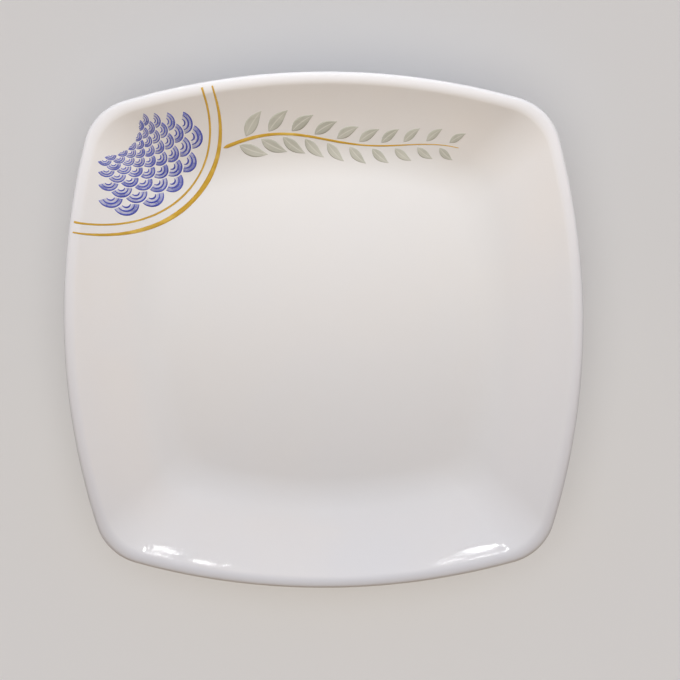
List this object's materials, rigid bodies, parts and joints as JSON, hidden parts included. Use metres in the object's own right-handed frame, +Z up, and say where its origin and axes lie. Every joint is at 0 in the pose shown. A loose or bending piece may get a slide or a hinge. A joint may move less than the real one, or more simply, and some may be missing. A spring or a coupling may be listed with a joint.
{
  "type": "deep square plate",
  "caption": "Deep square porcelain plate with bowed sides, rounded corners, a coved well on a foot ring, and a wave fan, gilt arcs and a leaf spray fired on at one corner.",
  "frame": {"origin": "on the table under the middle of the plate", "axes": "+Z up out of the well, +Y towards the side that is at the top of the design, +X to its right"},
  "size_m": [0.23, 0.23, 0.038],
  "materials": {
    "glazed_porcelain": "clear gloss glaze over white porcelain",
    "blue_enamel": "gloss overglaze enamel",
    "fired_gold": "burnished liquid gold",
    "sage_enamel": "gloss overglaze enamel"
  },
  "bodies": {
    "root": {"plate_body": "glazed_porcelain", "blue_wave_print": "blue_enamel", "gilt_thin_arc": "fired_gold", "gilt_broad_arc": "fired_gold", "gilt_stem": "fired_gold", "sage_leaf_print": "sage_enamel"}
  },
  "joints": []
}
